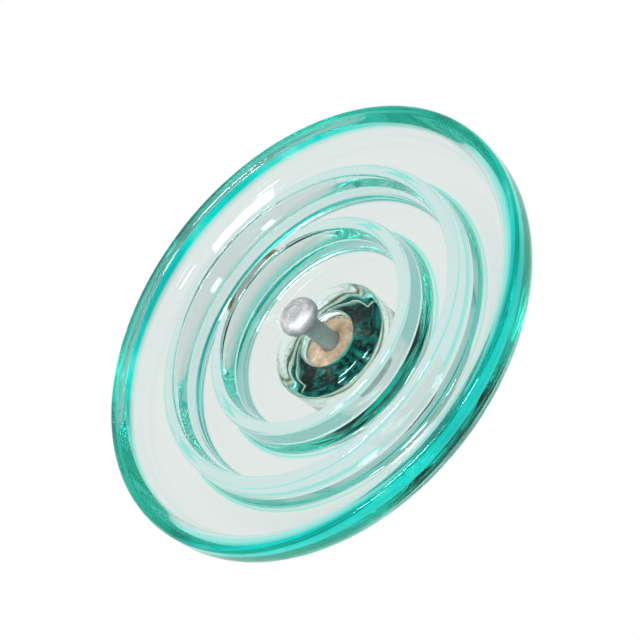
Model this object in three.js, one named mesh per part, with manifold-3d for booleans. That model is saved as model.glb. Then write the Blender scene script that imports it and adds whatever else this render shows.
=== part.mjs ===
// Cap-and-pin suspension insulator with a wide ribbed disc of toughened glass.
// Millimetres, +Z up, as it hangs in service: cap above, pin below. The origin is the middle of the
// ball seat in the cap's socket, so the next insulator of a string has its origin SPACING below.
import * as THREE from "three";
import { mergeVertices } from "three/addons/utils/BufferGeometryUtils.js";
import Module from "manifold-3d";

const wasm = await Module();
wasm.setup();

// Driving dimensions.
const SPACING = 127; // from the socket's seat to the shoulder of the pin's own ball
const DISC_R = 200;
const GLASS_T = 11; // wall of the disc
const GAP = 0.3; // between pieces that touch on the real insulator
const BITUMEN_T = 0.8; // resilient coat on the metal inside the cement

// Ball and socket coupling, size 16.
const BALL_R = 16.65;
const BALL_H = 13.4;
const SHANK_R = 8.25;
const SOCKET_R = 17.5;
const SOCKET_FLOOR_Z = -20.5;
const ENTRY_TOP_Z = -5.5; // the ball has to drop this far before it can leave
const SLOT_R = 9.75;

// Underside of the disc.
const FLOOR_Z = -93.4;
const HOLE_R = 25.2;
const COLLAR_R = 52;
const INNER_RIB = { rootIn: 81.8, tipIn: 87, tipOut: 98, rootOut: 100, tipZ: -123.2 };
const OUTER_RIB = { rootIn: 128.8, tipIn: 134.8, tipOut: 145, rootOut: 147.5, tipZ: -126.3 };
const LIP = { rootR: 181, rootZ: -107.4, inR: 184.6, bottomZ: -128.4, topZ: -94.9 };

// Head of the glass and the cap around it.
const HEAD_TOP_Z = -29.9;
const CAVITY_TOP_Z = -43;
const CAVITY_R = 22.8;
const CAP_LIP_Z = -76.5;
const CAP_LIP_R = 52;
const NECK_R = 40;
const CAP_TOP_Z = 9.5;
const CROWN_Z = -27; // inside of the cap's crown
const BOSS_HALF_X = 29;
const BOSS_BACK_Y = 29;
const BOSS_FRONT_Y = -26;

// Cork cushions over the heads of the glass and the pin.
const CUSHION_R = 25;
const CORK_R = 11.5;

// Pin inside the cement.
const PIN_TOP_Z = -47.6;
const CEMENT_AT_PIN_Z = -91;
const CEMENT_AT_GLASS_Z = -87.5;

// Split pin that locks the socket.
const CLIP_Z = -17;
const CLIP_R = 2.7; // half-round wire
const CLIP_TIP_Y = -8;
const CLIP_EYE_Y = 42.5;
const CLIP_EYE_R = 7.5;

// Fineness.
const ARC_STEP = THREE.MathUtils.degToRad(40);
const DISC_SEGMENTS = 48;
const HEAD_SEGMENTS = 32;
const PIN_SEGMENTS = 24;

// A polyline from corners [r, z] or [r, z, radius]; a radius turns that corner into an arc.
function rounded(corners, closed = false) {
  const points = [];
  corners.forEach(([x, y, radius], i) => {
    const corner = new THREE.Vector2(x, y);
    const last = corners.length - 1;
    if (!radius || (!closed && (i === 0 || i === last))) {
      points.push(corner);
      return;
    }
    const [bx, by] = corners[i === 0 ? last : i - 1];
    const [ax, ay] = corners[i === last ? 0 : i + 1];
    const before = new THREE.Vector2(bx, by).sub(corner).normalize();
    const after = new THREE.Vector2(ax, ay).sub(corner).normalize();
    const half = Math.acos(THREE.MathUtils.clamp(before.dot(after), -1, 1)) / 2;
    const middle = before.clone().add(after).normalize();
    const centre = corner.clone().addScaledVector(middle, radius / Math.sin(half));
    const start = corner.clone().addScaledVector(before, radius / Math.tan(half));
    const sweep = Math.PI - 2 * half;
    const turn = Math.sign(before.y * after.x - before.x * after.y) * sweep;
    const steps = Math.max(1, Math.ceil(sweep / ARC_STEP));
    for (let k = 0; k <= steps; k += 1) {
      points.push(start.clone().rotateAround(centre, (turn * k) / steps));
    }
  });
  return points;
}

// The polyline moved sideways by a distance, to the left of its own direction.
function offset(points, distance) {
  return points.map((point, i) => {
    const before = points[Math.max(i - 1, 0)];
    const after = points[Math.min(i + 1, points.length - 1)];
    const into = (i === 0 ? after.clone().sub(point) : point.clone().sub(before)).normalize();
    const out = (i === points.length - 1 ? into.clone() : after.clone().sub(point)).normalize();
    const normal = new THREE.Vector2(-into.y - out.y, into.x + out.x).normalize();
    const lean = -into.y * normal.x + into.x * normal.y;
    return point.clone().addScaledVector(normal, distance / lean);
  });
}

// A solid of revolution about Z. The outline runs anticlockwise seen with r to the right and z up.
function turned(outline, segments) {
  const profile = outline.map((point) => new THREE.Vector2(Math.max(point.x, 0), point.y));
  if (profile[0].x > 0) profile.push(profile[0].clone());
  return new THREE.LatheGeometry(profile, segments).rotateX(Math.PI / 2);
}

// A flat outline in X and Y pulled up along Z from one height to another.
function raised(shape, fromZ, toZ, bevel = 0) {
  const geometry = new THREE.ExtrudeGeometry(shape, {
    depth: toZ - fromZ - 2 * bevel,
    bevelEnabled: bevel > 0,
    bevelThickness: bevel,
    bevelSize: bevel,
    bevelOffset: -bevel,
    bevelSegments: 2,
    curveSegments: 5,
  });
  return geometry.translate(0, 0, fromZ + bevel);
}

function rectangle(x0, y0, x1, y1) {
  return new THREE.Shape([
    new THREE.Vector2(x0, y0),
    new THREE.Vector2(x1, y0),
    new THREE.Vector2(x1, y1),
    new THREE.Vector2(x0, y1),
  ]);
}

function solid(geometry) {
  const bare = geometry.index ? geometry.toNonIndexed() : geometry.clone();
  bare.deleteAttribute("normal");
  bare.deleteAttribute("uv");
  const merged = mergeVertices(bare, 1e-4);
  const all = Array.from(merged.index.array);
  const triVerts = [];
  for (let i = 0; i < all.length; i += 3) {
    const [a, b, c] = all.slice(i, i + 3);
    if (a !== b && b !== c && c !== a) triVerts.push(a, b, c);
  }
  return new wasm.Manifold(
    new wasm.Mesh({
      numProp: 3,
      vertProperties: merged.attributes.position.array,
      triVerts: new Uint32Array(triVerts),
    }),
  );
}

function geometryOf(manifold) {
  const mesh = manifold.getMesh();
  const geometry = new THREE.BufferGeometry();
  geometry.setAttribute("position", new THREE.BufferAttribute(mesh.vertProperties, mesh.numProp));
  geometry.setIndex(new THREE.BufferAttribute(mesh.triVerts, 1));
  geometry.computeVertexNormals();
  return geometry;
}

// Walls that several pieces share.

// The inside of the cap, from its lip up to the axis. Its two hoops key the cement.
const capWall = rounded([
  [45.6, CAP_LIP_Z],
  [47.3, -65],
  [44.2, -60],
  [46.8, -50],
  [44, -45.5],
  [44, CROWN_Z, 11],
  [0, CROWN_Z],
]);

// The outside of the glass head, from the neck up to the axis.
const headWall = rounded([
  [NECK_R, -78],
  [NECK_R - 0.6, -72, 3],
  [NECK_R + 1, -44, 6],
  [NECK_R - 1.5, HEAD_TOP_Z, 11],
  [0, HEAD_TOP_Z],
]);

// The hole for the pin, from its mouth up to the axis.
const cavityWall = rounded([
  [HOLE_R - 1, FLOOR_Z + 3],
  [CAVITY_R, -84, 4],
  [CAVITY_R + 0.8, -60, 6],
  [CAVITY_R - 2.5, CAVITY_TOP_Z, 9],
  [0, CAVITY_TOP_Z],
]);

// The forged head of the pin, from the shank up to the axis. Two cones carry the load.
const pinHead = rounded([
  [SHANK_R, -84],
  [SHANK_R + 0.6, -80, 4],
  [13.4, -72],
  [13.4, -69.5],
  [11, -67],
  [15.6, -56],
  [15.6, -51.5],
  [13.2, PIN_TOP_Z],
  [0, PIN_TOP_Z],
]);

function glassShell() {
  const { rootR, rootZ, inR, bottomZ, topZ } = LIP;
  const rib = ({ rootIn, tipIn, tipOut, rootOut, tipZ }) => [
    [rootIn, FLOOR_Z, 5.5],
    [tipIn, tipZ, 4],
    [tipOut, tipZ, 4],
    [rootOut, FLOOR_Z, 5],
  ];
  const underside = rounded([
    [HOLE_R - 1, FLOOR_Z + 3],
    [HOLE_R - 0.6, FLOOR_Z - 1.5, 3.2],
    [36, FLOOR_Z - 5.3, 17],
    [47, FLOOR_Z - 4.6, 8],
    [COLLAR_R, FLOOR_Z, 2.5],
    ...rib(INNER_RIB),
    ...rib(OUTER_RIB),
    [rootR, rootZ, 7],
    [inR, bottomZ, 6.8],
    [DISC_R, bottomZ, 7.4],
    [DISC_R, topZ - 20],
  ]);
  const topside = rounded([
    [DISC_R, topZ - 20],
    [DISC_R, topZ, 19],
    [rootR - 6, topZ + 1.4, 30],
    [148, FLOOR_Z + GLASS_T + 0.5, 40],
    [NECK_R + 1, FLOOR_Z + GLASS_T + 0.8, 6],
    [NECK_R, -78],
  ]);
  const outline = [
    ...cavityWall.slice().reverse(),
    ...underside.slice(1),
    ...topside.slice(1),
    ...headWall.slice(1),
  ];
  return turned(outline, DISC_SEGMENTS);
}

function pin() {
  const endZ = -SPACING - BALL_H;
  const ball = rounded([
    [0, endZ],
    [9, endZ, 8],
    [BALL_R + 0.4, endZ + 1.6, 5],
    [BALL_R, -SPACING - 3.4, 3.6],
    [SHANK_R, -SPACING + 1.2, 4.5],
    [SHANK_R, -84],
  ]);
  return turned([...ball, ...pinHead.slice(1)], PIN_SEGMENTS);
}

// A coat that follows a wall, from where the wall starts to a last radius near the axis.
function coat(wall, distance, segments) {
  const near = offset(wall, Math.sign(distance) * GAP);
  const far = offset(wall, distance + Math.sign(distance) * GAP);
  const [outer, inner] = distance > 0 ? [near, far] : [far, near];
  return turned([...outer, ...inner.reverse()], segments);
}

function capLining() {
  return coat(capWall, BITUMEN_T, HEAD_SEGMENTS);
}

function pinCoat() {
  return coat(pinHead, -BITUMEN_T, PIN_SEGMENTS);
}

function capCement() {
  const outer = offset(capWall, BITUMEN_T + 2 * GAP).filter((p) => p.x > CUSHION_R + 1);
  const inner = offset(headWall, -GAP).filter((p) => p.x > CUSHION_R + 1);
  const innerEdge = new THREE.Vector2(CUSHION_R + GAP, HEAD_TOP_Z + GAP);
  const outerEdge = new THREE.Vector2(CUSHION_R + GAP, CROWN_Z - BITUMEN_T - 2 * GAP);
  const foot = new THREE.Vector2(NECK_R + GAP, CAP_LIP_Z + 0.6);
  const neck = inner.filter((p) => p.y > CAP_LIP_Z + 1.5);
  outer[0].y = CAP_LIP_Z + 1.2;
  return turned([...outer, outerEdge, innerEdge, ...neck.reverse(), foot], HEAD_SEGMENTS);
}

function capCushion() {
  const disc = [
    [0, HEAD_TOP_Z + GAP],
    [CUSHION_R, HEAD_TOP_Z + GAP],
    [CUSHION_R, CROWN_Z - BITUMEN_T - 2 * GAP],
    [0, CROWN_Z - BITUMEN_T - 2 * GAP],
  ];
  return turned(rounded(disc), HEAD_SEGMENTS);
}

function pinCement() {
  const outer = offset(cavityWall, GAP).filter((p) => p.x > CORK_R + 1 && p.y > CEMENT_AT_GLASS_Z);
  const inner = offset(pinHead, -(BITUMEN_T + 2 * GAP)).filter((p) => p.x > CORK_R + 1);
  const surface = rounded([
    [SHANK_R + GAP, -84.6],
    [SHANK_R + GAP, CEMENT_AT_PIN_Z, 1],
    [15, CEMENT_AT_PIN_Z + 1.2, 6],
    [CAVITY_R - 0.2, CEMENT_AT_GLASS_Z, 0.8],
    [outer[0].x, outer[0].y],
  ]);
  const throat = offset(pinHead, -(BITUMEN_T + 2 * GAP)).filter((p) => p.y < -68 && p.x > 9.2);
  const wall = inner.filter((p) => !throat.includes(p));
  const outerEdge = new THREE.Vector2(CORK_R + GAP, CAVITY_TOP_Z - GAP);
  const innerEdge = new THREE.Vector2(CORK_R + GAP, PIN_TOP_Z + BITUMEN_T + 2 * GAP);
  const outline = [
    ...surface.slice(0, -1),
    ...outer,
    outerEdge,
    innerEdge,
    ...wall.reverse(),
    ...throat.reverse(),
  ];
  return turned(outline, HEAD_SEGMENTS);
}

function pinCushion() {
  const bottom = PIN_TOP_Z + BITUMEN_T + 2 * GAP;
  const disc = [
    [0, bottom],
    [CORK_R, bottom],
    [CORK_R, CAVITY_TOP_Z - GAP],
    [0, CAVITY_TOP_Z - GAP],
  ];
  return turned(rounded(disc), PIN_SEGMENTS);
}

// The boss on the cap's crown, seen from above: a rounded square.
function bossShape() {
  const corners = [
    [-BOSS_HALF_X, BOSS_FRONT_Y, 8],
    [BOSS_HALF_X, BOSS_FRONT_Y, 8],
    [BOSS_HALF_X, BOSS_BACK_Y, 17],
    [-BOSS_HALF_X, BOSS_BACK_Y, 17],
  ];
  return new THREE.Shape(rounded(corners, true));
}

// Everything that the coupling needs open: ball chamber, entry, shank slot and the split pin's hole.
function socketVoid() {
  const reach = 2 * BOSS_HALF_X;
  const chamber = turned(
    rounded([
      [0, SOCKET_FLOOR_Z],
      [SOCKET_R, SOCKET_FLOOR_Z, 2],
      [SOCKET_R, -3.5, 3],
      [SLOT_R, 0.8, 3],
      [SLOT_R, 4, 4],
      [SLOT_R + 3.5, CAP_TOP_Z + 1],
      [0, CAP_TOP_Z + 1],
    ]),
    HEAD_SEGMENTS,
  );
  const entry = raised(
    rectangle(-SOCKET_R, -reach, SOCKET_R, 0),
    SOCKET_FLOOR_Z,
    ENTRY_TOP_Z,
  );
  const slot = raised(rectangle(-SLOT_R, -reach, SLOT_R, 0), ENTRY_TOP_Z - 1, CAP_TOP_Z + 1);
  const holeShape = new THREE.Shape([
    new THREE.Vector2(-10, 12),
    new THREE.Vector2(10, 12),
    new THREE.Vector2(10, 19),
    new THREE.Vector2(3.6, 27.2),
    new THREE.Vector2(3.6, reach),
    new THREE.Vector2(-3.6, reach),
    new THREE.Vector2(-3.6, 27.2),
    new THREE.Vector2(-10, 19),
  ]);
  const clipHole = raised(holeShape, CLIP_Z - 3.3, CLIP_Z + 3.3);
  return solid(chamber).add(solid(entry)).add(solid(slot)).add(solid(clipHole));
}

function cap() {
  const bellOutside = rounded([
    [CAP_LIP_R - 2.5, CAP_LIP_Z],
    [CAP_LIP_R, CAP_LIP_Z + 1.6, 1.4],
    [CAP_LIP_R, CAP_LIP_Z + 7, 2.5],
    [CAP_LIP_R - 1, -66, 3],
    [CAP_LIP_R - 1.8, -36, 13],
    [40, -21.5, 8],
    [26, -19.5, 4],
    [0, -19.5],
  ]);
  const bell = turned([...bellOutside, ...capWall.slice().reverse()], HEAD_SEGMENTS);
  const boss = raised(bossShape(), CROWN_Z + 1.5, CAP_TOP_Z, 1.5);
  return geometryOf(solid(bell).add(solid(boss)).subtract(socketVoid()));
}

// Half-round wire: two legs side by side that spread at their ends, and an eye behind the cap.
function lockingClip() {
  const half = GAP / 2;
  const legs = rounded([
    [-half - 4.3, CLIP_TIP_Y],
    [-half, 1.5, 12],
    [-half, CLIP_EYE_Y - CLIP_EYE_R, 2.2],
    [-CLIP_EYE_R, CLIP_EYE_Y - CLIP_EYE_R + 0.8, 5.5],
    [-CLIP_EYE_R, CLIP_EYE_Y + CLIP_EYE_R, 7],
    [CLIP_EYE_R, CLIP_EYE_Y + CLIP_EYE_R, 7],
    [CLIP_EYE_R, CLIP_EYE_Y - CLIP_EYE_R + 0.8, 5.5],
    [half, CLIP_EYE_Y - CLIP_EYE_R, 2.2],
    [half, 1.5, 12],
    [half + 4.3, CLIP_TIP_Y],
  ]);
  const line = new THREE.CurvePath();
  legs.slice(1).forEach((point, i) => {
    const from = new THREE.Vector3(legs[i].x, legs[i].y, 0);
    line.add(new THREE.LineCurve3(from, new THREE.Vector3(point.x, point.y, 0)));
  });
  const section = new THREE.Shape();
  section.moveTo(CLIP_R, 0);
  section.absarc(0, 0, CLIP_R, 0, Math.PI, false);
  const geometry = new THREE.ExtrudeGeometry(section, {
    steps: 64,
    extrudePath: line,
    curveSegments: 4,
  });
  return geometry.translate(0, 0, CLIP_Z);
}

const galvanisedIron = { color: 0x9a9c9d, roughness: 0.62, metalness: 0.85 };
const galvanisedSteel = { color: 0xb2b1b4, roughness: 0.5, metalness: 0.85 };
const tealGlass = { color: 0xbfe6dd, roughness: 0.04, metalness: 0, transparent: true, opacity: 0.4 };
const cement = { color: 0xb79c7e, roughness: 0.95, metalness: 0 };
const bitumen = { color: 0x15130f, roughness: 0.55, metalness: 0 };
const cork = { color: 0x8a6443, roughness: 0.95, metalness: 0 };
const bronze = { color: 0xa77a45, roughness: 0.35, metalness: 1 };

function piece(name, geometry, look) {
  const mesh = new THREE.Mesh(geometry, new THREE.MeshStandardMaterial(look));
  mesh.name = name;
  return mesh;
}

const insulator = new THREE.Group();
insulator.add(
  piece("glass_shell", glassShell(), tealGlass),
  piece("cap", cap(), galvanisedIron),
  piece("cap_lining", capLining(), bitumen),
  piece("cap_cement", capCement(), cement),
  piece("cap_cushion", capCushion(), cork),
  piece("pin", pin(), galvanisedSteel),
  piece("pin_coat", pinCoat(), bitumen),
  piece("pin_cement", pinCement(), cement),
  piece("pin_cushion", pinCushion(), cork),
  piece("locking_clip", lockingClip(), bronze),
);

export default insulator;
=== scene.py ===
"""Glass suspension insulator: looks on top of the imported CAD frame.

Metres, +Z up, as it hangs in service: cap above, pin below. The disc's underside carries two ribs
and a lip; the pin's ball hangs in the middle.
"""

import math

import bmesh
import bpy
from mathutils import Matrix, Vector, noise


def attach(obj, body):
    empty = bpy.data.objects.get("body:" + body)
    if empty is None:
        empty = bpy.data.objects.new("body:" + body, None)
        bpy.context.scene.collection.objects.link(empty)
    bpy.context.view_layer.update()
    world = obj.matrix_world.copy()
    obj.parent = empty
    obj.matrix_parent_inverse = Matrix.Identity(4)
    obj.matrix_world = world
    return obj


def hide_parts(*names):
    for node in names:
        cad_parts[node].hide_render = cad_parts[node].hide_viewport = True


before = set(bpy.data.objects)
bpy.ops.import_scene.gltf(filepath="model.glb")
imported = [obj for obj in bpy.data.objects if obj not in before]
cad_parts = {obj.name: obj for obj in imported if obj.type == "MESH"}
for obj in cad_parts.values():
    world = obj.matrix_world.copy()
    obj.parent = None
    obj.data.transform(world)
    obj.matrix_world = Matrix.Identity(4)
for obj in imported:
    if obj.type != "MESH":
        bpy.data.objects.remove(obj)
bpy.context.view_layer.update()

MM = 0.001

# ---------------------------------------------------------------- driving sizes, in mm
# The same sizes as the CAD model's, because the pieces here stand for its nodes.
DISC_R = 200
GLASS_T = 11
SPACING = 127
BALL_R = 16.65
BALL_H = 13.4
SHANK_R = 8.25
FLOOR_Z = -93.4  # underside of the disc between the ribs
HOLE_R = 25.2
COLLAR_R = 52
INNER_RIB = dict(root_in=81.8, tip_in=87, tip_out=98, root_out=100, tip_z=-123.2)
OUTER_RIB = dict(root_in=128.8, tip_in=134.8, tip_out=145, root_out=147.5, tip_z=-126.3)
LIP = dict(root_r=181, root_z=-107.4, in_r=184.6, bottom_z=-128.4)
HEAD_TOP_Z = -29.9
CAVITY_TOP_Z = -43
CAVITY_R = 22.8
NECK_R = 40
CAP_LIP_Z = -76.5
CAP_LIP_R = 52
CAP_TOP_Z = 9.5
CROWN_Z = -27  # inside of the cap's crown
BOSS_X = 29
BOSS_BACK_Y = 29
BOSS_FRONT_Y = -26
SOCKET_R = 17.5
SOCKET_FLOOR_Z = -20.5
ENTRY_TOP_Z = -5.5
SLOT_R = 9.75
CUSHION_R = 25
CORK_R = 11.5
PIN_TOP_Z = -47.6
CEMENT_AT_PIN_Z = -91
CEMENT_AT_GLASS_Z = -87.5
CLIP_Z = -17
CLIP_R = 2.7
CLIP_TIP_Y = -8
CLIP_EYE_Y = 42.5
CLIP_EYE_R = 7.5
GAP = 0.3
BITUMEN_T = 0.8
WETTED = 0.08  # how far the cement is let into the glass, so that the two are in optical contact
PAINTED_LIGHT_FOOT_Z = -68  # the cap cement is painted with the glass's light and shade only above this
SOCKET_OVERCUT = 1
CAST_VOXEL = 0.85

# Segments around the axis.
GLASS_SEGMENTS = 224
PIN_SEGMENTS = 96
CAP_SEGMENTS = 128
BELL_SEGMENTS = 144
SOCKET_SEGMENTS = 72
CEMENT_SEGMENTS = 240
CUSHION_SEGMENTS = 64

# ---------------------------------------------------------------- colour changes, in metres
# Each pair is where a change starts and where it is complete.
RIM_R = (0.1905, 0.1945)
RIM_Z = (-0.106, -0.112)
LIP_FOOT_R = (0.1865, 0.1890)
LIP_FOOT_Z = (-0.118, -0.122)
RIB_FEET = ((INNER_RIB, (-0.107, -0.101)), (OUTER_RIB, (-0.105, -0.099)))
WRINKLED_R = (0.050, 0.044)
# Below these heights the cement at the glass is painted bright: a painted glow.
PAINTED_GLOW_Z = (-0.0755, -0.0800)
# Above these heights the shank carries a painted green reflection of the glass.
SHANK_REFLECTION_PAINT_Z = (-0.125, -0.119)
WORN_R = (0.0115, 0.0085)

# ---------------------------------------------------------------- view and stage
VIEW_ELEVATION = math.radians(41.6)  # below the disc's plane, on the pin's side
VIEW_DISTANCE = 1.85
VIEW_ROLL = math.radians(51.82)  # the pin leans this far to the left of the picture's up
LENS = 130.3
AIM = Vector((0, 0, -100.9 * MM))
SENSOR = 36
SHIFT = (-3 / 640, 15.6 / 640)
STAGE_Z = -2.7
STAGE_SIZE = 60
BOUNCES = 48
TRANSPARENT_BOUNCES = 16


# ---------------------------------------------------------------- outlines and meshes
def rounded(corners, arc_step=math.radians(9), support=0.35):
    """A polyline through corners (r, z) or (r, z, radius). A radius turns the corner into an arc,
    with one more point just before and after it, so that flat stretches shade flat."""
    points = []
    last = len(corners) - 1
    for i, corner in enumerate(corners):
        here = Vector(corner[:2])
        radius = corner[2] if len(corner) > 2 else 0
        if not radius or i in (0, last):
            points.append(here)
            continue
        before = (Vector(corners[i - 1][:2]) - here).normalized()
        after = (Vector(corners[i + 1][:2]) - here).normalized()
        half = math.acos(max(-1, min(1, before.dot(after)))) / 2
        centre = here + (before + after).normalized() * (radius / math.sin(half))
        start = here + before * (radius / math.tan(half))
        sweep = math.pi - 2 * half
        turn = math.copysign(sweep, before.y * after.x - before.x * after.y)
        steps = max(2, math.ceil(sweep / arc_step))
        arm = start - centre
        points.append(start + before * support)
        for k in range(steps + 1):
            a = turn * k / steps
            spun = Vector((arm.x * math.cos(a) - arm.y * math.sin(a),
                           arm.x * math.sin(a) + arm.y * math.cos(a)))
            points.append(centre + spun)
        points.append(points[-1] + after * support)
    return points


def offset(points, distance):
    """The polyline moved sideways, to the left of its own direction."""
    moved = []
    last = len(points) - 1
    for i, point in enumerate(points):
        into = (point - points[i - 1] if i else points[1] - point).normalized()
        out = (points[i + 1] - point if i < last else point - points[i - 1]).normalized()
        normal = Vector((-into.y - out.y, into.x + out.x)).normalized()
        lean = normal.y * into.x - normal.x * into.y
        moved.append(point + normal * (distance / lean))
    return moved


def finished(name, bm, body, node):
    """Turns a bmesh in mm into a piece that rides on a body and stands for a CAD node."""
    bmesh.ops.scale(bm, vec=(MM, MM, MM), verts=bm.verts)
    bmesh.ops.recalc_face_normals(bm, faces=bm.faces)
    mesh = bpy.data.meshes.new(name)
    bm.to_mesh(mesh)
    bm.free()
    for polygon in mesh.polygons:
        polygon.use_smooth = True
    piece = bpy.data.objects.new(name, mesh)
    bpy.context.scene.collection.objects.link(piece)
    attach(piece, body)
    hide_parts(node)
    return piece


def revolve(outline, segments):
    """A bmesh, in mm, of an outline (r, z) turned about Z. An outline that starts and ends on the
    axis closes there; any other closes on itself."""
    bm = bmesh.new()
    on_axis = outline[0].x < 1e-6 and outline[-1].x < 1e-6
    rings = []
    for point in outline:
        if point.x < 1e-6:
            rings.append([bm.verts.new((0, 0, point.y))])
            continue
        ring = []
        for k in range(segments):
            a = 2 * math.pi * k / segments
            ring.append(bm.verts.new((point.x * math.cos(a), point.x * math.sin(a), point.y)))
        rings.append(ring)
    pairs = list(zip(rings, rings[1:]))
    if not on_axis:
        pairs.append((rings[-1], rings[0]))
    for lower, upper in pairs:
        for k in range(segments):
            n = (k + 1) % segments
            corners = [lower[k % len(lower)], lower[n % len(lower)],
                       upper[n % len(upper)], upper[k % len(upper)]]
            face = list(dict.fromkeys(corners))
            if len(face) > 2:
                bm.faces.new(face)
    return bm


# ---------------------------------------------------------------- materials
class Nodes:
    """Short calls to build a node tree."""

    def __init__(self, name):
        self.material = bpy.data.materials.new(name)
        self.material.use_nodes = True
        self.tree = self.material.node_tree
        self.bsdf = self.tree.nodes["Principled BSDF"]
        self.output = self.tree.nodes["Material Output"]

    def add(self, kind, inputs=None, **settings):
        node = self.tree.nodes.new(kind)
        for key, value in settings.items():
            setattr(node, key, value)
        for key, value in (inputs or {}).items():
            if isinstance(value, bpy.types.NodeSocket):
                self.tree.links.new(value, node.inputs[key])
            else:
                node.inputs[key].default_value = value
        return node

    def noise(self, scale, detail=4, roughness=0.55, distortion=0.0):
        inputs = {"Scale": scale, "Detail": detail, "Roughness": roughness,
                  "Distortion": distortion, "Vector": self.place()}
        return self.add("ShaderNodeTexNoise", inputs).outputs["Fac"]

    def place(self):
        return self.add("ShaderNodeTexCoord").outputs["Object"]

    def radius(self, place):
        """The distance from the axis, of a position already split into its coordinates."""
        x, y = place.outputs["X"], place.outputs["Y"]
        squares = (self.maths("MULTIPLY", x, x), self.maths("MULTIPLY", y, y))
        return self.maths("SQRT", self.maths("ADD", *squares))

    def ramp(self, factor, *stops):
        node = self.add("ShaderNodeValToRGB", {"Fac": factor})
        elements = node.color_ramp.elements
        while len(elements) < len(stops):
            elements.new(0.5)
        for element, (position, colour) in zip(elements, stops):
            element.position = position
            element.color = (*colour, 1)
        return node.outputs["Color"]

    def span(self, value, low, high, to_low=0.0, to_high=1.0):
        inputs = {"Value": value, "From Min": low, "From Max": high,
                  "To Min": to_low, "To Max": to_high}
        return self.add("ShaderNodeMapRange", inputs).outputs["Result"]

    def mix(self, factor, a, b, blend="MIX"):
        node = self.add("ShaderNodeMix", data_type="RGBA", blend_type=blend)
        # Sockets 6 and 7 are the two colours, and output 2 is the mixed colour.
        for socket, value in ((node.inputs[0], factor), (node.inputs[6], a), (node.inputs[7], b)):
            if isinstance(value, bpy.types.NodeSocket):
                self.tree.links.new(value, socket)
            else:
                socket.default_value = (*value, 1) if isinstance(value, tuple) else value
        return node.outputs[2]

    def maths(self, operation, *values):
        node = self.add("ShaderNodeMath", operation=operation)
        for socket, value in zip(node.inputs, values):
            if isinstance(value, bpy.types.NodeSocket):
                self.tree.links.new(value, socket)
            else:
                socket.default_value = value
        return node.outputs[0]

    def bump(self, height, distance, strength=1.0, below=None):
        inputs = {"Height": height, "Distance": distance, "Strength": strength}
        if below:
            inputs["Normal"] = below
        return self.add("ShaderNodeBump", inputs).outputs["Normal"]

    def set(self, **inputs):
        for key, value in inputs.items():
            socket = self.bsdf.inputs[key.replace("_", " ")]
            if isinstance(value, bpy.types.NodeSocket):
                self.tree.links.new(value, socket)
            else:
                socket.default_value = (*value, 1) if isinstance(value, tuple) else value


def glass_material():
    """Clear glass, with a greener tint at the rim, under the lip and at the feet of the ribs. The
    tint stands for the long way light takes in thick edges, and is the same all the way round."""
    n = Nodes("toughened_glass")
    place = n.add("ShaderNodeSeparateXYZ", {"Vector": n.place()})
    r = n.radius(place)
    z = place.outputs["Z"]
    rim = n.maths("MULTIPLY", n.span(r, *RIM_R), n.span(z, *RIM_Z))
    shade = n.noise(9, detail=3, distortion=0.6)
    green = n.ramp(shade, (0.36, (0.0, 0.32, 0.27)), (0.5, (0.0, 0.66, 0.53)),
                   (0.64, (0.02, 0.92, 0.68)))
    ripple = n.noise(16, detail=2)
    wrinkle = n.maths("MULTIPLY", n.noise(75, detail=3, distortion=1.8),
                      n.span(r, *WRINKLED_R))
    clear = (0.825, 0.832, 0.822)
    for rib, heights in RIB_FEET:
        wall = rib["root_out"] * MM
        inner = n.span(r, wall - 0.0035, wall - 0.002)
        outer = n.span(r, wall + 0.003, wall + 0.001)
        band = n.maths("MULTIPLY", n.maths("MULTIPLY", inner, outer), n.span(z, *heights))
        clear = n.mix(band, clear, (0.20, 0.82, 0.68))
    under = n.maths("MULTIPLY", n.span(r, *LIP_FOOT_R), n.span(z, *LIP_FOOT_Z))
    clear = n.mix(under, clear, (0.22, 0.88, 0.79))
    surface = n.bump(ripple, 0.0004, 0.06, below=n.bump(wrinkle, 0.0012, 0.1))
    n.set(Base_Color=n.mix(rim, clear, green), Roughness=0.0, IOR=1.52, Transmission_Weight=1.0,
          Specular_Tint=(0.3, 0.55, 0.53), Normal=surface)
    absorb = n.add("ShaderNodeVolumeAbsorption", {"Color": (0.0, 0.85, 0.77, 1), "Density": 5.8})
    n.tree.links.new(absorb.outputs["Volume"], n.output.inputs["Volume"])
    return n.material


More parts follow.
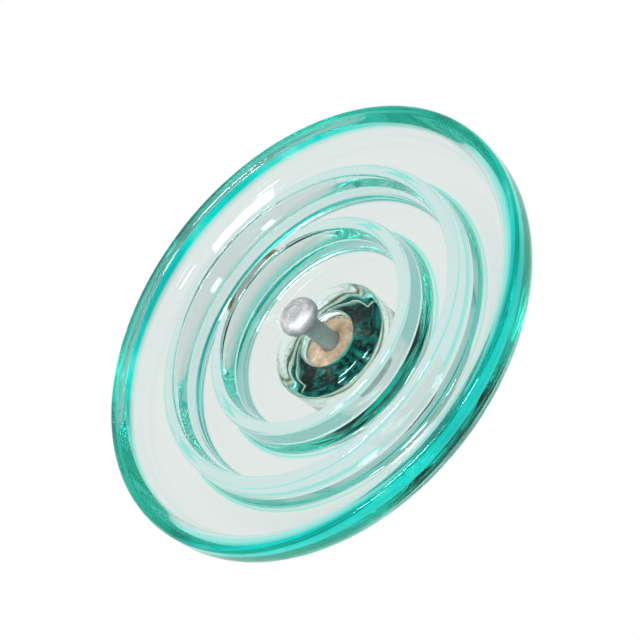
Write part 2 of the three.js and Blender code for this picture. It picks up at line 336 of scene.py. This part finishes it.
def galvanised_material(name, light, dark, grain, painted_light_below=-1.0, worn_end_and_reflection=None):
    """Zinc: light and dark clouds, faint spangle and dark specks, and painted light below a height
    in metres, that makes a shaded lower part look lit.
    Given the height of the pin's end, that end has worn rings, and the upper shank a painted
    green reflection of the glass."""
    n = Nodes(name)
    place = n.add("ShaderNodeSeparateXYZ", {"Vector": n.place()})
    z = place.outputs["Z"]
    cells = n.add("ShaderNodeTexVoronoi", {"Scale": 330 * grain, "Vector": n.place()})
    spangle = n.add("ShaderNodeRGBToBW", {"Color": cells.outputs["Color"]}).outputs["Val"]
    cloud = n.noise(170 * grain, detail=7, roughness=0.7)
    specks = n.span(n.noise(1000 * grain, detail=3), 0.56, 0.68)
    colour = n.ramp(cloud, (0.3, dark), (0.66, light))
    # Painted light: near white below the given height, so that the shaded lower part looks lit.
    colour = n.mix(n.span(z, painted_light_below, painted_light_below - 0.006), colour, (0.93, 0.96, 0.92))
    facets = n.ramp(spangle, (0.1, (0.38, 0.38, 0.39)), (0.8, (0.62, 0.62, 0.62)))
    colour = n.mix(0.4, colour, facets, "OVERLAY")
    colour = n.mix(n.maths("MULTIPLY", specks, 0.65), colour, (0.13, 0.125, 0.125))
    if worn_end_and_reflection:
        r = n.radius(place)
        wave = n.maths("ADD", n.maths("MULTIPLY", r, 2300.0), n.maths("MULTIPLY", cloud, 9.0))
        ring = n.span(n.maths("SINE", wave), -1.0, 1.0, 0.25, 0.6)
        worn = n.maths("MULTIPLY", ring, n.span(r, *WORN_R))
        worn = n.maths("MULTIPLY", worn, n.span(z, worn_end_and_reflection + 0.004, worn_end_and_reflection + 0.002))
        colour = n.mix(worn, colour, (0.15, 0.15, 0.16))
        # Painted reflection: the upper shank is tinted green as if it mirrored the glass.
        colour = n.mix(n.span(z, *SHANK_REFLECTION_PAINT_Z, 0.0, 0.4), colour, (0.26, 0.43, 0.40))
    rough = n.span(cloud, 0.3, 0.7, 0.42, 0.6)
    fine = n.bump(n.noise(1400 * grain, detail=3), 0.00012, 0.35)
    coarse = n.bump(n.noise(160 * grain, detail=4), 0.0006, 0.35, below=fine)
    n.set(Base_Color=colour, Metallic=0.55, Roughness=rough, Normal=coarse)
    return n.material


def cement_material(name, dark, light, grit):
    n = Nodes(name)
    cloud = n.noise(110, detail=7, roughness=0.65)
    sand = n.noise(850, detail=3)
    colour = n.ramp(cloud, (0.36, dark), (0.64, light))
    colour = n.mix(n.span(sand, 0.52, 0.68), colour, grit)
    n.set(Base_Color=colour, Roughness=0.93, Normal=n.bump(sand, 0.0006, 0.8))
    return n.material


def cement_with_painted_light_material():
    """Cement in contact with glass, painted with the glass's light and shade: a painted dark teal
    shade, paler swirls of painted reflection, and a painted glow low in the head.
    """
    n = Nodes("cement_at_glass_painted_light")
    swirl = n.noise(38, detail=4, roughness=0.6, distortion=2.4)
    streak = n.noise(95, detail=5, roughness=0.65, distortion=1.6)
    # Painted shade and painted reflection: a dark teal ground with paler swirls.
    colour = n.ramp(swirl, (0.40, (0.0, 0.015, 0.014)), (0.49, (0.001, 0.11, 0.10)),
                    (0.56, (0.004, 0.34, 0.31)), (0.66, (0.10, 0.70, 0.64)))
    colour = n.mix(n.span(streak, 0.55, 0.66), colour, (0.04, 0.62, 0.56))
    z = n.add("ShaderNodeSeparateXYZ", {"Vector": n.place()}).outputs["Z"]
    # A painted glow: bright below the given heights, low in the head.
    colour = n.mix(n.span(z, *PAINTED_GLOW_Z), colour, (0.03, 0.95, 0.82))
    n.set(Base_Color=colour, Roughness=0.8, Specular_IOR_Level=0.0)
    return n.material


def bitumen_material():
    n = Nodes("bitumen")
    cloud = n.noise(60, detail=4)
    n.set(Base_Color=n.ramp(cloud, (0.3, (0.15, 0.15, 0.085)), (0.7, (0.28, 0.28, 0.17))),
          Roughness=n.span(cloud, 0.3, 0.7, 0.35, 0.6), Normal=n.bump(cloud, 0.0005, 0.4))
    return n.material


def cork_material():
    n = Nodes("cork")
    grain = n.add("ShaderNodeTexVoronoi", {"Scale": 450.0, "Vector": n.place()}).outputs["Distance"]
    n.set(Base_Color=n.ramp(grain, (0.1, (0.33, 0.19, 0.10)), (0.7, (0.14, 0.07, 0.035))),
          Roughness=0.9, Normal=n.bump(grain, 0.0004, 0.5))
    return n.material


def bronze_material():
    n = Nodes("bronze")
    cloud = n.noise(120, detail=5)
    n.set(Base_Color=n.ramp(cloud, (0.3, (0.36, 0.21, 0.09)), (0.7, (0.55, 0.34, 0.15))),
          Metallic=0.95, Roughness=n.span(cloud, 0.3, 0.7, 0.24, 0.42),
          Normal=n.bump(n.noise(700, detail=3), 0.0001, 0.3))
    return n.material


# ---------------------------------------------------------------- pieces
CAP_WALL = [(45.6, CAP_LIP_Z), (47.3, -65, 2), (44.2, -60, 2), (46.8, -50, 2), (44, -45.5, 2),
            (44, CROWN_Z, 11), (0, CROWN_Z)]
HEAD_WALL = [(NECK_R, -78), (NECK_R - 0.6, -72, 3), (NECK_R + 1, -44, 6),
             (NECK_R - 1.5, HEAD_TOP_Z, 11), (0, HEAD_TOP_Z)]
CAVITY_WALL = [(0, CAVITY_TOP_Z), (CAVITY_R - 2.5, CAVITY_TOP_Z, 9), (CAVITY_R + 0.8, -60, 6),
               (CAVITY_R, -84, 4), (HOLE_R - 0.8, FLOOR_Z + 2, 4)]
PIN_HEAD = [(SHANK_R, -84), (SHANK_R + 0.6, -80, 4), (13.4, -72, 1.2), (13.4, -69.5, 1.2),
            (11, -67, 1.2), (15.6, -56, 1.2), (15.6, -51.5, 1.2), (13.2, PIN_TOP_Z, 1),
            (0, PIN_TOP_Z)]


def glass_shell():
    def rib(size):
        return [(size["root_in"], FLOOR_Z, 5.5), (size["tip_in"], size["tip_z"], 4),
                (size["tip_out"], size["tip_z"], 4), (size["root_out"], FLOOR_Z, 5)]

    outline = rounded([
        *CAVITY_WALL,
        (HOLE_R - 0.4, FLOOR_Z - 2, 2.6),
        (36, FLOOR_Z - 5.3, 18),
        (47, FLOOR_Z - 4.6, 9),
        (COLLAR_R, FLOOR_Z, 2.5),
        *rib(INNER_RIB),
        *rib(OUTER_RIB),
        (LIP["root_r"], LIP["root_z"], 7),
        (LIP["in_r"], LIP["bottom_z"], 6.8),
        (DISC_R, LIP["bottom_z"], 4.6),
        (DISC_R, -94.9, 19),
        (LIP["root_r"] - 6, -93.5, 30),
        (148, FLOOR_Z + GLASS_T + 0.5, 40),
        (NECK_R + 1, FLOOR_Z + GLASS_T + 0.8, 6),
        *HEAD_WALL[1:],
    ])
    return finished("glass_disc", revolve(outline, GLASS_SEGMENTS), "insulator",
                    "glass_shell")


def pin():
    end = -SPACING - BALL_H
    outline = rounded([
        (0, end),
        (8, end, 14),
        (BALL_R + 0.15, end + 2.2, 6),
        (BALL_R, -SPACING - 2.4, 3),
        (SHANK_R, -SPACING + 1.2, 3),
        (SHANK_R, -86, 1),
        *PIN_HEAD[1:],
    ])
    return finished("pin_forging", revolve(outline, PIN_SEGMENTS), "insulator",
                    "pin")


def shell_between(inner, outer, segments):
    """A bmesh of the closed layer between two polylines that run the same way."""
    return revolve([*inner, *reversed(outer)], segments)


def cap_lining():
    wall = rounded(CAP_WALL)
    layer = shell_between(offset(wall, GAP), offset(wall, GAP + BITUMEN_T), CAP_SEGMENTS)
    return finished("cap_lining_coat", layer, "insulator", "cap_lining")


def pin_coat():
    wall = rounded(PIN_HEAD)
    layer = shell_between(offset(wall, -GAP), offset(wall, -GAP - BITUMEN_T), PIN_SEGMENTS)
    return finished("pin_head_coat", layer, "insulator", "pin_coat")


def cap_cement():
    keep = CUSHION_R + 1
    outer = [p for p in offset(rounded(CAP_WALL), BITUMEN_T + 2 * GAP) if p.x > keep]
    inner = [p for p in offset(rounded(HEAD_WALL), WETTED) if p.x > keep and p.y > CAP_LIP_Z + 1]
    foot = [Vector((NECK_R - 0.35, CAP_LIP_Z + 0.6)), Vector((NECK_R + 2.5, CAP_LIP_Z + 0.9)),
            Vector((outer[0].x, CAP_LIP_Z + 1.6))]
    crown = [Vector((CUSHION_R + GAP, CROWN_Z - BITUMEN_T - 2 * GAP)),
             Vector((CUSHION_R + GAP, HEAD_TOP_Z + GAP))]
    bm = revolve([*foot, *outer[1:], *crown, *reversed(inner)], CAP_SEGMENTS)
    for face in bm.faces:
        middle = face.calc_center_median()
        r = math.hypot(middle.x, middle.y)
        # Faces at the glass above the foot take the cement painted with the glass's light and
        # shade.
        face.material_index = int(r < NECK_R + 1.6 and middle.z > PAINTED_LIGHT_FOOT_Z)
    return finished("cap_cement_fill", bm, "insulator", "cap_cement")


def pin_cement():
    keep = CORK_R + 1
    mouth = CEMENT_AT_GLASS_Z
    outer = [p for p in offset(rounded(CAVITY_WALL), WETTED) if p.x > keep and p.y > mouth + 0.4]
    wall = [p for p in offset(rounded(PIN_HEAD), -BITUMEN_T - 2 * GAP) if p.x > keep or p.y < -67]
    flare = (HOLE_R - 0.8 - CAVITY_R) / (-84 - FLOOR_Z - 2)  # how fast the hole widens to its mouth
    rim = CAVITY_R + flare * (-84 - mouth) + WETTED
    surface = [Vector((SHANK_R + GAP, CEMENT_AT_PIN_Z + 1)),
               Vector((SHANK_R + 0.5, CEMENT_AT_PIN_Z + 0.1))]
    steps = 14
    for k in range(1, steps + 1):
        t = k / steps
        drop = (mouth - CEMENT_AT_PIN_Z) * t ** 1.6
        surface.append(Vector((SHANK_R + 1 + (rim - SHANK_R - 1) * t, CEMENT_AT_PIN_Z + drop)))
    crown = [Vector((CORK_R + GAP, CAVITY_TOP_Z - GAP)),
             Vector((CORK_R + GAP, PIN_TOP_Z + BITUMEN_T + 2 * GAP))]
    bm = revolve([*surface, *reversed(outer), *crown, *reversed(wall)], CEMENT_SEGMENTS)
    for vert in bm.verts:
        r = math.hypot(vert.co.x, vert.co.y)
        if vert.co.z > mouth + 0.2 or r < SHANK_R + 0.6:
            continue
        # Waves all over, and chipped teeth at the glass on the +Y side.
        out = (r - SHANK_R) / (rim - SHANK_R)
        vert.co.z += 0.35 * noise.fractal(vert.co * 0.35, 0.9, 2.1, 3)
        far = max(0, vert.co.y / r + 0.25)
        teeth = noise.noise(Vector((vert.co.x, vert.co.y, 0)) * 0.6)
        rise = far * out ** 8 * 4.2 * max(0, teeth + 0.2)
        vert.co += Vector((vert.co.x / r * flare * rise, vert.co.y / r * flare * rise, -rise))
    for face in bm.faces:
        middle = face.calc_center_median()
        r = math.hypot(middle.x, middle.y)
        # Faces against the glass wall take the cement painted with the glass's light and shade.
        face.material_index = int(middle.z > mouth + 0.3 and r > 17.5)
    return finished("pin_cement_fill", bm, "insulator", "pin_cement")


def cushion(name, node, radius, bottom, top):
    outline = rounded([(0, bottom), (radius, bottom, 0.3), (radius, top, 0.3), (0, top)])
    return finished(name, revolve(outline, CUSHION_SEGMENTS), "insulator", node)


def extruded(corners, low, high):
    """A bmesh of a flat outline in x and y raised from one height to another."""
    bm = bmesh.new()
    bottom = [bm.verts.new((x, y, low)) for x, y in corners]
    top = [bm.verts.new((x, y, high)) for x, y in corners]
    bm.faces.new(reversed(bottom))
    bm.faces.new(top)
    for k in range(len(corners)):
        n = (k + 1) % len(corners)
        bm.faces.new((bottom[k], bottom[n], top[n], top[k]))
    return bm


def loose(name, bm):
    bmesh.ops.recalc_face_normals(bm, faces=bm.faces)
    mesh = bpy.data.meshes.new(name)
    bm.to_mesh(mesh)
    bm.free()
    helper = bpy.data.objects.new(name, mesh)
    bpy.context.scene.collection.objects.link(helper)
    return helper


def boss_outline():
    """The boss on the crown, from above: a square with round corners, wider at the back."""
    corners = []
    for sx, y, radius, start in ((-1, BOSS_FRONT_Y, 8, 180), (1, BOSS_FRONT_Y, 8, 270),
                                 (1, BOSS_BACK_Y, 17, 0), (-1, BOSS_BACK_Y, 17, 90)):
        cx = sx * (BOSS_X - radius)
        cy = y - math.copysign(radius, y)
        for k in range(9):
            a = math.radians(start + 90 * k / 8)
            corners.append((cx + radius * math.cos(a), cy + radius * math.sin(a)))
    return corners


def cap():
    """A casting: bell and boss fused, the coupling's voids cut, and every edge softened."""
    bell = rounded([
        (0, CROWN_Z), (44, CROWN_Z, 11), (44, -45.5, 2), (46.8, -50, 2), (44.2, -60, 2),
        (47.3, -65, 2), (45.6, CAP_LIP_Z, 1), (CAP_LIP_R, CAP_LIP_Z, 2),
        (CAP_LIP_R, CAP_LIP_Z + 7, 2.5), (CAP_LIP_R - 1, -66, 3), (CAP_LIP_R - 1.8, -36, 13),
        (40, -21.5, 8), (26, -19.5, 4), (0, -19.5),
    ], support=0.2)
    body = loose("bell", revolve(bell, BELL_SEGMENTS))
    chamber = rounded([
        (0, SOCKET_FLOOR_Z), (SOCKET_R, SOCKET_FLOOR_Z, 2), (SOCKET_R, -3.5, 3), (SLOT_R, 0.8, 3),
        (SLOT_R, 4, 4), (SLOT_R + 3.5, CAP_TOP_Z + SOCKET_OVERCUT), (0, CAP_TOP_Z + SOCKET_OVERCUT),
    ])
    reach = 2 * BOSS_X
    entry = [(-SOCKET_R, -reach), (SOCKET_R, -reach), (SOCKET_R, 0), (-SOCKET_R, 0)]
    slot = [(-SLOT_R, -reach), (SLOT_R, -reach), (SLOT_R, 0), (-SLOT_R, 0)]
    hole = [(-10, 12), (10, 12), (10, 19), (3.6, 27.2), (3.6, reach), (-3.6, reach),
            (-3.6, 27.2), (-10, 19)]
    steps = (
        ("UNION", extruded(boss_outline(), CROWN_Z + 1.5, CAP_TOP_Z)),
        ("DIFFERENCE", revolve(chamber, SOCKET_SEGMENTS)),
        ("DIFFERENCE", extruded(entry, SOCKET_FLOOR_Z, ENTRY_TOP_Z)),
        ("DIFFERENCE", extruded(slot, ENTRY_TOP_Z - SOCKET_OVERCUT, CAP_TOP_Z + SOCKET_OVERCUT)),
        ("DIFFERENCE", extruded(hole, CLIP_Z - 3.3, CLIP_Z + 3.3)),
    )
    helpers = [body]
    for k, (operation, bm) in enumerate(steps):
        tool = loose(f"cap_tool_{k}", bm)
        helpers.append(tool)
        cut = body.modifiers.new(f"cut_{k}", "BOOLEAN")
        cut.operation = operation
        cut.solver = "EXACT"
        cut.object = tool
    remesh = body.modifiers.new("cast", "REMESH")
    remesh.mode = "VOXEL"
    remesh.voxel_size = CAST_VOXEL
    soften = body.modifiers.new("soften", "SMOOTH")
    soften.factor = 0.5
    soften.iterations = 5
    bpy.context.view_layer.update()
    shaped = body.evaluated_get(bpy.context.evaluated_depsgraph_get())
    bm = bmesh.new()
    bm.from_mesh(shaped.to_mesh())
    shaped.to_mesh_clear()
    for helper in helpers:
        mesh = helper.data
        bpy.data.objects.remove(helper)
        bpy.data.meshes.remove(mesh)
    return finished("cap_casting", bm, "insulator", "cap")


def locking_clip():
    """A half-round wire bent back on itself: an eye behind the cap and two legs that spread."""
    half = 0.15
    right = rounded([
        (half + 4.3, CLIP_TIP_Y), (half, 1.5, 12), (half, CLIP_EYE_Y - CLIP_EYE_R, 2.2),
        (CLIP_EYE_R, CLIP_EYE_Y - CLIP_EYE_R + 0.8, 5.5), (CLIP_EYE_R, CLIP_EYE_Y + CLIP_EYE_R, 7),
        (0, CLIP_EYE_Y + CLIP_EYE_R),
    ], arc_step=math.radians(7))
    path = right + [Vector((-p.x, p.y)) for p in reversed(right[:-1])]
    bm = bmesh.new()
    rings = []
    steps = 12
    last = len(path) - 1
    for i, point in enumerate(path):
        along = (path[min(i + 1, last)] - path[max(i - 1, 0)]).normalized()
        side = Vector((along.y, -along.x))
        # The round side of the wire faces out of the bend, and the flat side lies leg to leg.
        ring = []
        for k in range(steps + 1):
            a = math.pi * k / steps
            flat = point + side * (CLIP_R * math.sin(a))
            ring.append(bm.verts.new((flat.x, flat.y, CLIP_Z + CLIP_R * math.cos(a))))
        rings.append(ring)
    for a, b in zip(rings, rings[1:]):
        for k in range(steps + 1):
            n = (k + 1) % (steps + 1)
            bm.faces.new((a[k], a[n], b[n], b[k]))
    bm.faces.new(rings[0])
    bm.faces.new(reversed(rings[-1]))
    return finished("split_pin", bm, "clip", "locking_clip")


# ---------------------------------------------------------------- the assembly
glass = glass_material()
# The shank of the pin carries a painted green reflection of the glass.
steel = galvanised_material("galvanised_steel", (0.42, 0.43, 0.435), (0.21, 0.22, 0.225), 1.0,
                            worn_end_and_reflection=(-SPACING - BALL_H) * MM)
# Below the lip's height the iron is painted near white: painted light in the cap's shade.
iron = galvanised_material("galvanised_iron", (0.60, 0.61, 0.61), (0.40, 0.41, 0.42), 0.6,
                           painted_light_below=-0.067)
cement = cement_material("cement", (0.22, 0.165, 0.11), (0.40, 0.31, 0.215),
                         (0.17, 0.125, 0.08))
painted_light_cement = cement_with_painted_light_material()
# The cap cement is painted pale mint: painted light, so that it looks lit though it sits in the
# cap's shade.
pale = cement_material("cement_on_head_painted_light", (0.66, 0.70, 0.62), (0.80, 0.84, 0.76),
                       (0.5, 0.52, 0.46))
bitumen = bitumen_material()
cork = cork_material()
bronze = bronze_material()

dressed = (
    (glass_shell(), glass),
    (cap(), iron),
    (cap_lining(), bitumen),
    (cap_cement(), pale, painted_light_cement),
    (cushion("cap_cork", "cap_cushion", CUSHION_R, HEAD_TOP_Z + GAP,
             CROWN_Z - BITUMEN_T - 2 * GAP), cork),
    (pin(), steel),
    (pin_coat(), bitumen),
    (pin_cement(), cement, painted_light_cement),
    (cushion("pin_cork", "pin_cushion", CORK_R, PIN_TOP_Z + BITUMEN_T + 2 * GAP,
             CAVITY_TOP_Z - GAP), cork),
    (locking_clip(), bronze),
)
for piece, *materials in dressed:
    for material in materials:
        piece.data.materials.append(material)


# ---------------------------------------------------------------- stage, light and camera
def stage():
    n = Nodes("pale_floor")
    cloud = n.noise(1.2, detail=3)
    n.set(Base_Color=n.ramp(cloud, (0.4, (0.695, 0.695, 0.695)), (0.6, (0.705, 0.705, 0.705))),
          Roughness=0.9)
    bpy.ops.mesh.primitive_plane_add(size=STAGE_SIZE, location=(0, 0, STAGE_Z))
    floor = bpy.context.object
    floor.name = "floor"
    floor.data.materials.append(n.material)

    world = bpy.data.worlds.new("studio")
    world.use_nodes = True
    background = world.node_tree.nodes["Background"]
    background.inputs["Color"].default_value = (1, 1, 1, 1)
    background.inputs["Strength"].default_value = 1.0
    bpy.context.scene.world = world


def softbox(name, place, size, power):
    data = bpy.data.lights.new(name, "AREA")
    data.shape = "RECTANGLE"
    data.size, data.size_y = size
    data.energy = power
    lamp = bpy.data.objects.new(name, data)
    lamp.location = place
    lamp.rotation_mode = "QUATERNION"
    lamp.rotation_quaternion = (AIM - Vector(place)).to_track_quat("-Z", "Y")
    bpy.context.scene.collection.objects.link(lamp)


def camera():
    toward = Vector((0, math.cos(VIEW_ELEVATION), math.sin(VIEW_ELEVATION)))
    pin_up = Vector((0, math.sin(VIEW_ELEVATION), -math.cos(VIEW_ELEVATION)))
    side = toward.cross(pin_up)
    up = math.cos(VIEW_ROLL) * pin_up + math.sin(VIEW_ROLL) * side
    right = toward.cross(up)
    data = bpy.data.cameras.new("camera")
    data.lens = LENS
    data.sensor_width = SENSOR
    data.shift_x, data.shift_y = SHIFT
    data.clip_end = 100
    shot = bpy.data.objects.new("camera", data)
    turn = Matrix((right, up, -toward)).transposed()
    shot.matrix_world = Matrix.Translation(AIM - VIEW_DISTANCE * toward) @ turn.to_4x4()
    bpy.context.scene.collection.objects.link(shot)
    bpy.context.scene.camera = shot


stage()
softbox("key", (1.0, -0.78, -1.9), (0.36, 0.36), 32)
softbox("low_left", (0.22, 0.50, -2.22), (0.34, 0.5), 40)
softbox("low_right", (-0.48, -1.03, -1.98), (0.34, 0.5), 28)
camera()
bpy.context.scene.view_settings.view_transform = "Standard"
bpy.context.scene.cycles.max_bounces = BOUNCES
bpy.context.scene.cycles.transmission_bounces = BOUNCES
bpy.context.scene.cycles.glossy_bounces = BOUNCES
bpy.context.scene.cycles.transparent_max_bounces = TRANSPARENT_BOUNCES
